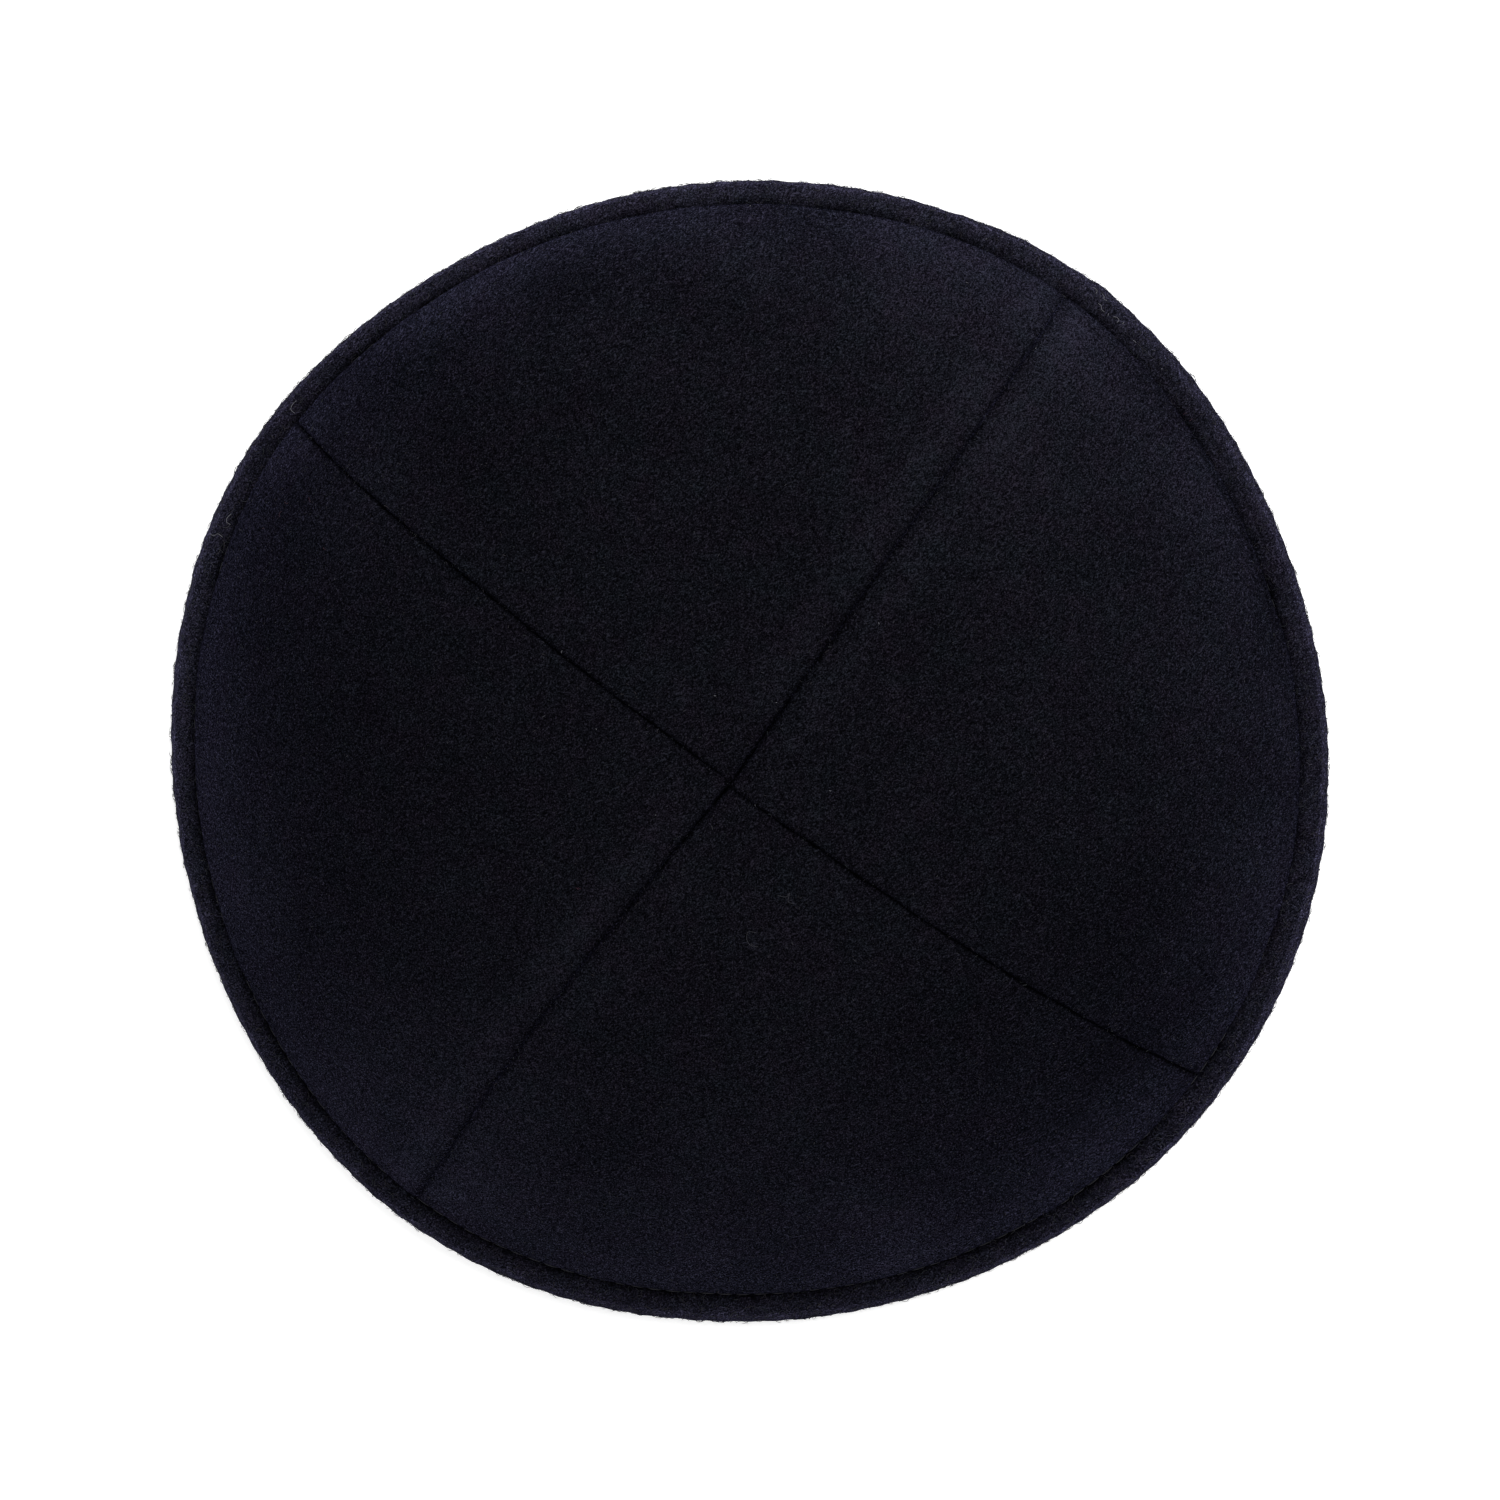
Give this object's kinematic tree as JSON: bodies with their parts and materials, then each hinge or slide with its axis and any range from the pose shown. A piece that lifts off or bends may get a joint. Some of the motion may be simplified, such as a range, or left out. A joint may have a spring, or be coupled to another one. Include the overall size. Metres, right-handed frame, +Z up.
{
  "type": "kippah skullcap",
  "caption": "Round domed skullcap of dark navy wool felt, worn on the crown of the head: curved panels meet in seams at the top, and a narrow folded strip binds the rim.",
  "frame": {"origin": "centre of the rim's footprint, on the surface that the cap rests on", "axes": "+Z up through the crown; +X and +Y through the middles of the right and back panels"},
  "size_m": [0.1739, 0.1721, 0.052],
  "materials": {
    "panel_felt": "napped wool felt, matt",
    "binding_felt": "napped wool felt, matt"
  },
  "bodies": {
    "root": {"panel_back": "panel_felt", "panel_right": "panel_felt", "panel_front": "panel_felt", "panel_left": "panel_felt", "rim_binding": "binding_felt"}
  },
  "joints": []
}
